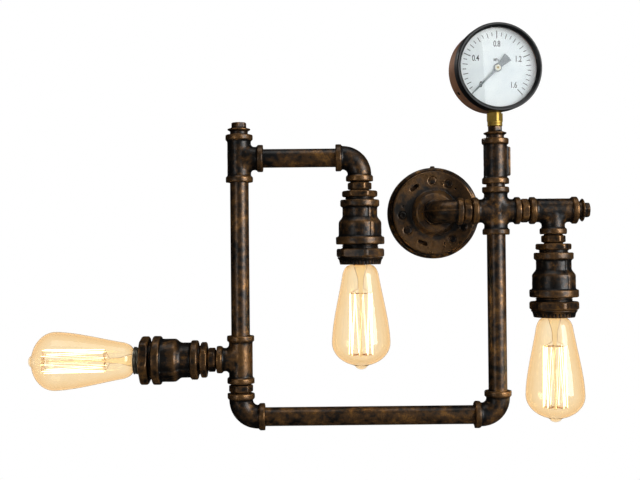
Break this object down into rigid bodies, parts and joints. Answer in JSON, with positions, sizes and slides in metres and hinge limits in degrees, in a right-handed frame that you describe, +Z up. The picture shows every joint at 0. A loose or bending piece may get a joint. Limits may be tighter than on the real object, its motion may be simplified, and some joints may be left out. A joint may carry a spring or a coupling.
{
  "type": "wall lamp",
  "caption": "Industrial wall lamp of bronzed pipe fittings: a round wall flange, an open frame of pipes, bare filament bulbs in reducer sockets and a dial gauge on top.",
  "frame": {"origin": "middle of the canopy's back face, on the wall", "axes": "+X to the right as the lamp is seen, +Y into the wall, +Z up"},
  "size_m": [0.6326, 0.0979, 0.4535],
  "materials": {
    "cast_fitting": "antique bronze over cast iron, rubbed on the edges",
    "flange_cast": "antique bronze over cast iron",
    "pipe_steel": "dark antique bronze",
    "canopy_paint": "antique bronze, satin",
    "fastener": "bronzed steel",
    "bracket_steel": "zinc plated",
    "nylon": "natural nylon",
    "lead_cover": "black flexible sheath",
    "holder_body": "black moulded resin",
    "holder_shell": "bronzed steel with a rolled thread",
    "contact_brass": "bare spring brass",
    "shade_ring": "dark antique bronze",
    "bulb_glass": "amber tinted, clear",
    "bulb_cap": "rolled screw cap",
    "bulb_filament": "glowing filament on a glass stem",
    "gauge_brass": "bare brass",
    "gauge_paint": "bronze grey",
    "bezel_enamel": "black gloss enamel",
    "gauge_glass": "clear",
    "dial_paint": "white with black marks",
    "pointer_paint": "black"
  },
  "bodies": {
    "pipework": {"wall_elbow": "cast_fitting", "cross": "cast_fitting", "right_tee": "cast_fitting", "lower_right_elbow": "cast_fitting", "lower_left_elbow": "cast_fitting", "left_tee": "cast_fitting", "top_tee": "cast_fitting", "arm_elbow": "cast_fitting", "gauge_socket": "cast_fitting", "gauge_bush": "cast_fitting", "pipe_plugs": "cast_fitting", "hex_nipples": "cast_fitting", "reducing_bushes": "cast_fitting", "mouth_bushes": "cast_fitting", "left_reducer": "cast_fitting", "middle_reducer": "cast_fitting", "right_reducer": "cast_fitting", "flange": "flange_cast", "column_pipe": "pipe_steel", "bottom_pipe": "pipe_steel", "left_pipe": "pipe_steel", "arm_pipe": "pipe_steel", "gauge_nipple": "pipe_steel", "wall_nipple": "pipe_steel", "canopy": "canopy_paint", "flange_screws": "fastener", "flange_rivets": "fastener", "side_screw": "fastener", "wall_bracket": "bracket_steel", "lock_nut": "bracket_steel", "terminal_block": "nylon", "lamp_leads": "lead_cover", "left_holder": "holder_body", "middle_holder": "holder_body", "right_holder": "holder_body", "left_shell": "holder_shell", "middle_shell": "holder_shell", "right_shell": "holder_shell", "holder_contacts": "contact_brass", "shade_rings": "shade_ring", "gauge_stem": "gauge_brass", "gauge_movement": "gauge_brass", "bourdon_tube": "gauge_brass", "gauge_case": "gauge_paint", "gauge_bezel": "bezel_enamel", "gauge_window": "gauge_glass", "gauge_dial": "dial_paint"},
    "pointer": {"gauge_pointer": "pointer_paint", "gauge_pinion": "gauge_brass"},
    "sector": {"gauge_sector": "gauge_brass"},
    "link": {"gauge_link": "gauge_brass"},
    "left_bulb": {"left_glass": "bulb_glass"},
    "left_base": {"left_cap": "bulb_cap", "left_filament": "bulb_filament"},
    "middle_bulb": {"middle_glass": "bulb_glass"},
    "middle_base": {"middle_cap": "bulb_cap", "middle_filament": "bulb_filament"},
    "right_bulb": {"right_glass": "bulb_glass"},
    "right_base": {"right_cap": "bulb_cap", "right_filament": "bulb_filament"}
  },
  "joints": [
    {"name": "pointer_turn", "type": "hinge", "parent": "pipework", "child": "pointer", "pos_m": [0.0645, -0.065, 0.1598], "axis": [-0.1564, 0.9877, 0], "range_deg": [0, 270], "stiffness_Nm_per_rad": 0.002},
    {"name": "sector_swing", "type": "hinge", "parent": "pipework", "child": "sector", "pos_m": [0.07561, -0.06324, 0.14031], "axis": [-0.1564, 0.9877, 0], "range_deg": [-33.75, 0]},
    {"name": "link_swing", "type": "hinge", "parent": "sector", "child": "link", "pos_m": [0.08534, -0.0617, 0.13858], "axis": [-0.1564, 0.9877, 0], "range_deg": [0, 33.75]},
    {"name": "left_bulb_out", "type": "slide", "parent": "pipework", "child": "left_bulb", "axis": [-1, 0, 0], "range_m": [0, 0.01452]},
    {"name": "left_bulb_turn", "type": "hinge", "parent": "left_bulb", "child": "left_base", "pos_m": [-0.345, -0.065, -0.1645], "axis": [-1, 0, 0], "range_deg": [0, 1440]},
    {"name": "middle_bulb_out", "type": "slide", "parent": "pipework", "child": "middle_bulb", "axis": [0, 0, -1], "range_m": [0, 0.01452]},
    {"name": "middle_bulb_turn", "type": "hinge", "parent": "middle_bulb", "child": "middle_base", "pos_m": [-0.089, -0.065, -0.059], "axis": [0, 0, -1], "range_deg": [0, 1440]},
    {"name": "right_bulb_out", "type": "slide", "parent": "pipework", "child": "right_bulb", "axis": [0, 0, -1], "range_m": [0, 0.01452]},
    {"name": "right_bulb_turn", "type": "hinge", "parent": "right_bulb", "child": "right_base", "pos_m": [0.129, -0.065, -0.1205], "axis": [0, 0, -1], "range_deg": [0, 1440]}
  ],
  "couplings": [
    {"joint": "sector_swing", "follows": "pointer_turn", "ratio": -0.125},
    {"joint": "link_swing", "follows": "pointer_turn", "ratio": 0.125},
    {"joint": "left_bulb_turn", "follows": "left_bulb_out", "rad_per_m": 1731.4},
    {"joint": "middle_bulb_turn", "follows": "middle_bulb_out", "rad_per_m": 1731.4},
    {"joint": "right_bulb_turn", "follows": "right_bulb_out", "rad_per_m": 1731.4}
  ]
}
